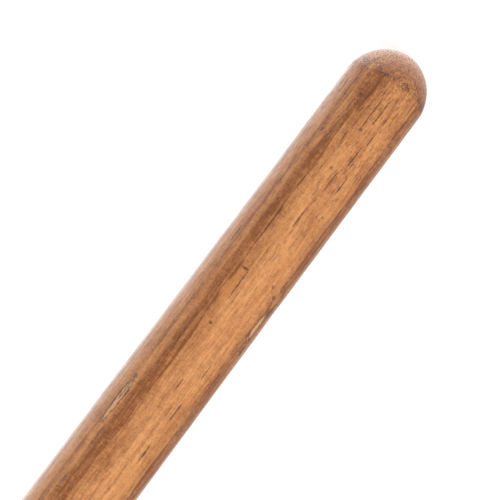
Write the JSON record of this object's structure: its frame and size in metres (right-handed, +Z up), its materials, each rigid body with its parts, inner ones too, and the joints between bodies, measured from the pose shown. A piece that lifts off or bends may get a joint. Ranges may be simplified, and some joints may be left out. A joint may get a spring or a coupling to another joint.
{
  "type": "underarm crutch",
  "caption": "Height-adjustable wooden underarm crutch: round leg, two bent bows, bolted handgrip, padded saddle.",
  "frame": {"origin": "lowest point of the leg's rounded foot, on the floor, in the rest setting", "axes": "+Z up the leg, X across the two bows with the wing nuts on the +X side, Y front to back"},
  "size_m": [0.2196, 0.0466, 1.3167],
  "materials": {
    "leg_wood": "satin varnish, worn",
    "bow_wood": "satin varnish, worn",
    "saddle_wood": "satin varnish, worn",
    "grip_wood": "polished by hands",
    "steel": "dull, zinc plated, aged",
    "brass": "tarnished",
    "leather": "worn, satin",
    "filling": "matte felt"
  },
  "bodies": {
    "leg": {"leg": "leg_wood"},
    "frame": {"bow_left": "bow_wood", "bow_right": "bow_wood", "saddle": "saddle_wood", "saddle_screws": "steel", "pad_filling": "filling", "pad_cover": "leather", "pad_tacks": "brass"},
    "lower_bolt": {"lower_bolt": "steel", "lower_head_washer": "steel"},
    "lower_nut_washer": {"lower_nut_washer": "steel"},
    "lower_wing_nut": {"lower_wing_nut": "steel"},
    "upper_bolt": {"upper_bolt": "steel", "upper_head_washer": "steel"},
    "upper_nut_washer": {"upper_nut_washer": "steel"},
    "upper_wing_nut": {"upper_wing_nut": "steel"},
    "grip_head_washer": {"grip_head_washer": "steel"},
    "handgrip": {"handgrip": "grip_wood"},
    "grip_bolt": {"grip_bolt": "steel"},
    "grip_nut_washer": {"grip_nut_washer": "steel"},
    "grip_wing_nut": {"grip_wing_nut": "steel"}
  },
  "joints": [
    {"name": "leg_height", "type": "slide", "parent": "leg", "child": "frame", "axis": [0, 0, 1], "range_m": [-0.075, 0.075]},
    {"name": "lower_bolt_draw", "type": "slide", "parent": "frame", "child": "lower_bolt", "axis": [-1, 0, 0], "range_m": [0, 0.075]},
    {"name": "lower_nut_travel", "type": "slide", "parent": "frame", "child": "lower_nut_washer", "axis": [1, 0, 0], "range_m": [0, 0.012]},
    {"name": "lower_nut_turn", "type": "hinge", "parent": "lower_nut_washer", "child": "lower_wing_nut", "pos_m": [0, 0, 0.36], "axis": [1, 0, 0], "range_deg": [0, 4320]},
    {"name": "upper_bolt_draw", "type": "slide", "parent": "frame", "child": "upper_bolt", "axis": [-1, 0, 0], "range_m": [0, 0.075]},
    {"name": "upper_nut_travel", "type": "slide", "parent": "frame", "child": "upper_nut_washer", "axis": [1, 0, 0], "range_m": [0, 0.012]},
    {"name": "upper_nut_turn", "type": "hinge", "parent": "upper_nut_washer", "child": "upper_wing_nut", "pos_m": [0, 0, 0.435], "axis": [1, 0, 0], "range_deg": [0, 4320]},
    {"name": "grip_height", "type": "slide", "parent": "frame", "child": "grip_head_washer", "axis": [0, 0, 1], "range_m": [-0.075, 0.075]},
    {"name": "grip_turn", "type": "hinge", "parent": "grip_head_washer", "child": "handgrip", "pos_m": [0, 0, 0.893], "axis": [1, 0, 0], "continuous": true},
    {"name": "grip_bolt_draw", "type": "slide", "parent": "grip_head_washer", "child": "grip_bolt", "axis": [-1, 0, 0], "range_m": [0, 0.168]},
    {"name": "grip_nut_travel", "type": "slide", "parent": "grip_head_washer", "child": "grip_nut_washer", "axis": [1, 0, 0], "range_m": [0, 0.012]},
    {"name": "grip_nut_turn", "type": "hinge", "parent": "grip_nut_washer", "child": "grip_wing_nut", "pos_m": [0, 0, 0.893], "axis": [1, 0, 0], "range_deg": [0, 4320]}
  ],
  "couplings": [
    {"joint": "lower_nut_turn", "follows": "lower_nut_travel", "rad_per_m": 6283.2},
    {"joint": "upper_nut_turn", "follows": "upper_nut_travel", "rad_per_m": 6283.2},
    {"joint": "grip_nut_turn", "follows": "grip_nut_travel", "rad_per_m": 6283.2}
  ]
}
